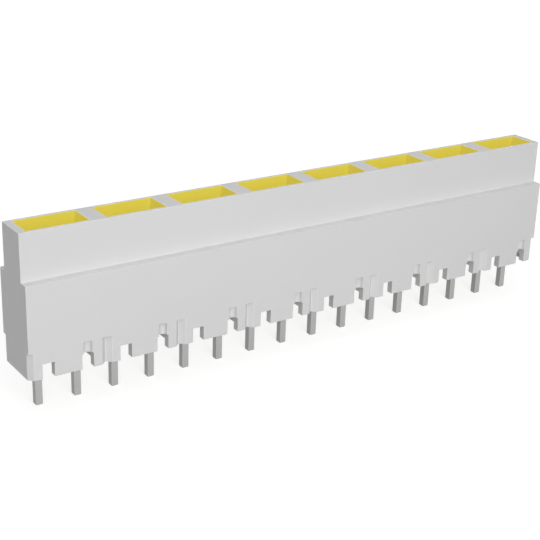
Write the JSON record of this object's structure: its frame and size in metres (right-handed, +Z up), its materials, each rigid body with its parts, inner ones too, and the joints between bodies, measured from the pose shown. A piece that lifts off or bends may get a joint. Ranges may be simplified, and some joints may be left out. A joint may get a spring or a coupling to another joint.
{
  "type": "led array",
  "caption": "Light grey moulded LED bar with a row of recessed yellow windows on its narrow top and one row of square solder pins under its notched skirt.",
  "frame": {"origin": "middle of the pin row, at the plane of the housing's feet, which rest on the circuit board", "axes": "+X along the bar, +Y to its plain back, +Z up out of the board towards the windows"},
  "size_m": [0.0406, 0.0036, 0.0115],
  "materials": {
    "housing": "light grey moulded polycarbonate, fine satin",
    "lens": "diffused yellow epoxy resin, smooth",
    "lead": "tin-plated sheet, satin",
    "chip": "semiconductor die, smooth",
    "bond_wire": "gold wire"
  },
  "bodies": {
    "root": {"housing": "housing", "lens_1": "lens", "lens_2": "lens", "lens_3": "lens", "lens_4": "lens", "lens_5": "lens", "lens_6": "lens", "lens_7": "lens", "lens_8": "lens", "anode_lead_1": "lead", "anode_lead_2": "lead", "anode_lead_3": "lead", "anode_lead_4": "lead", "anode_lead_5": "lead", "anode_lead_6": "lead", "anode_lead_7": "lead", "anode_lead_8": "lead", "cathode_lead_1": "lead", "cathode_lead_2": "lead", "cathode_lead_3": "lead", "cathode_lead_4": "lead", "cathode_lead_5": "lead", "cathode_lead_6": "lead", "cathode_lead_7": "lead", "cathode_lead_8": "lead", "chip_1": "chip", "chip_2": "chip", "chip_3": "chip", "chip_4": "chip", "chip_5": "chip", "chip_6": "chip", "chip_7": "chip", "chip_8": "chip", "bond_wire_1": "bond_wire", "bond_wire_2": "bond_wire", "bond_wire_3": "bond_wire", "bond_wire_4": "bond_wire", "bond_wire_5": "bond_wire", "bond_wire_6": "bond_wire", "bond_wire_7": "bond_wire", "bond_wire_8": "bond_wire"}
  },
  "joints": []
}
